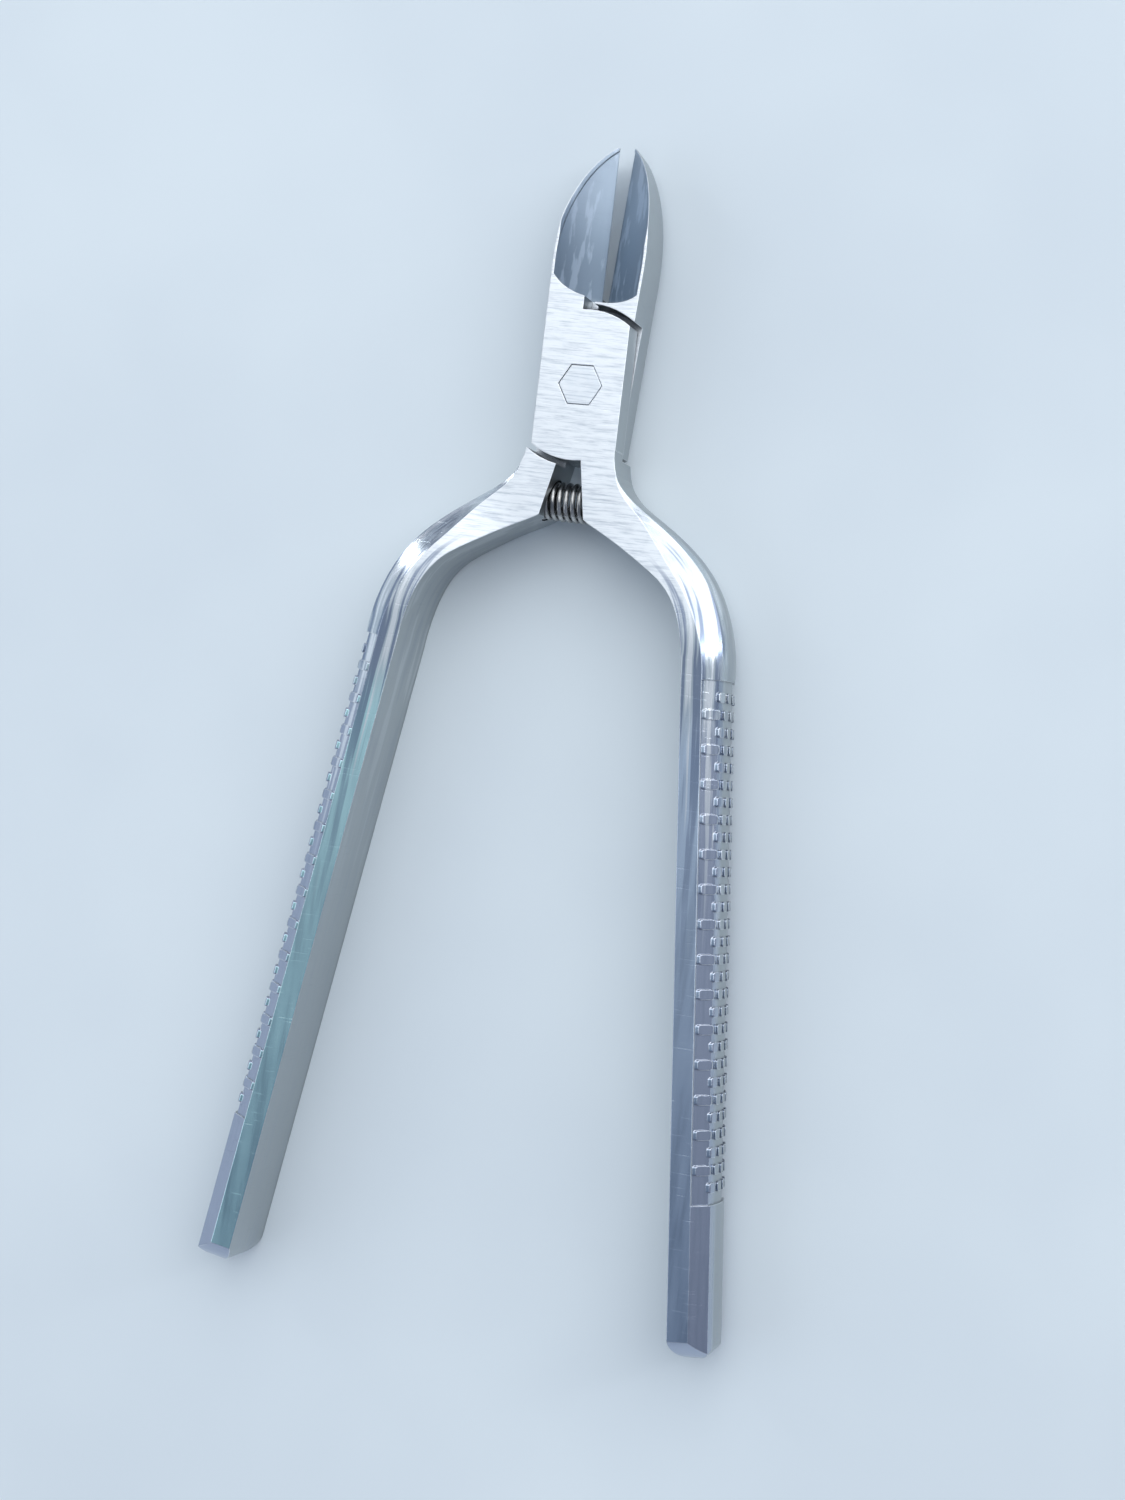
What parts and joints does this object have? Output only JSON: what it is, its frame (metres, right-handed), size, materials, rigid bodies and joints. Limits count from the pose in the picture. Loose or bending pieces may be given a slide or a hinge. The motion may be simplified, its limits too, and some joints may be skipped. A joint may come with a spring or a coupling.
{
  "type": "hand nipper",
  "caption": "Small one-hand lap-joint nipper with ogive cutting jaws, padded-grip handles and a spring that reopens them.",
  "frame": {"origin": "the pivot axis where it leaves the joint's back face", "axes": "+Y to the jaw tips along the tool's length, +Z through the joint to the front face, +X to the right seen from the front"},
  "size_m": [0.0642, 0.1387, 0.0102],
  "materials": {
    "half_steel": "cross-brushed flats, polished bevels and edges",
    "rivet_steel": "ground flush with the joint's face",
    "spring_wire": "drawn spring wire, darker than the halves"
  },
  "bodies": {
    "front": {"front_half": "half_steel", "pivot_rivet": "rivet_steel", "return_spring": "spring_wire"},
    "back": {"back_half": "half_steel"}
  },
  "joints": [
    {"name": "pivot", "type": "hinge", "parent": "front", "child": "back", "pos_m": [0, 0, 0], "axis": [0, 0, 1], "range_deg": [-6, 3.5], "stiffness_Nm_per_rad": 2, "deforming": ["return_spring"]}
  ]
}
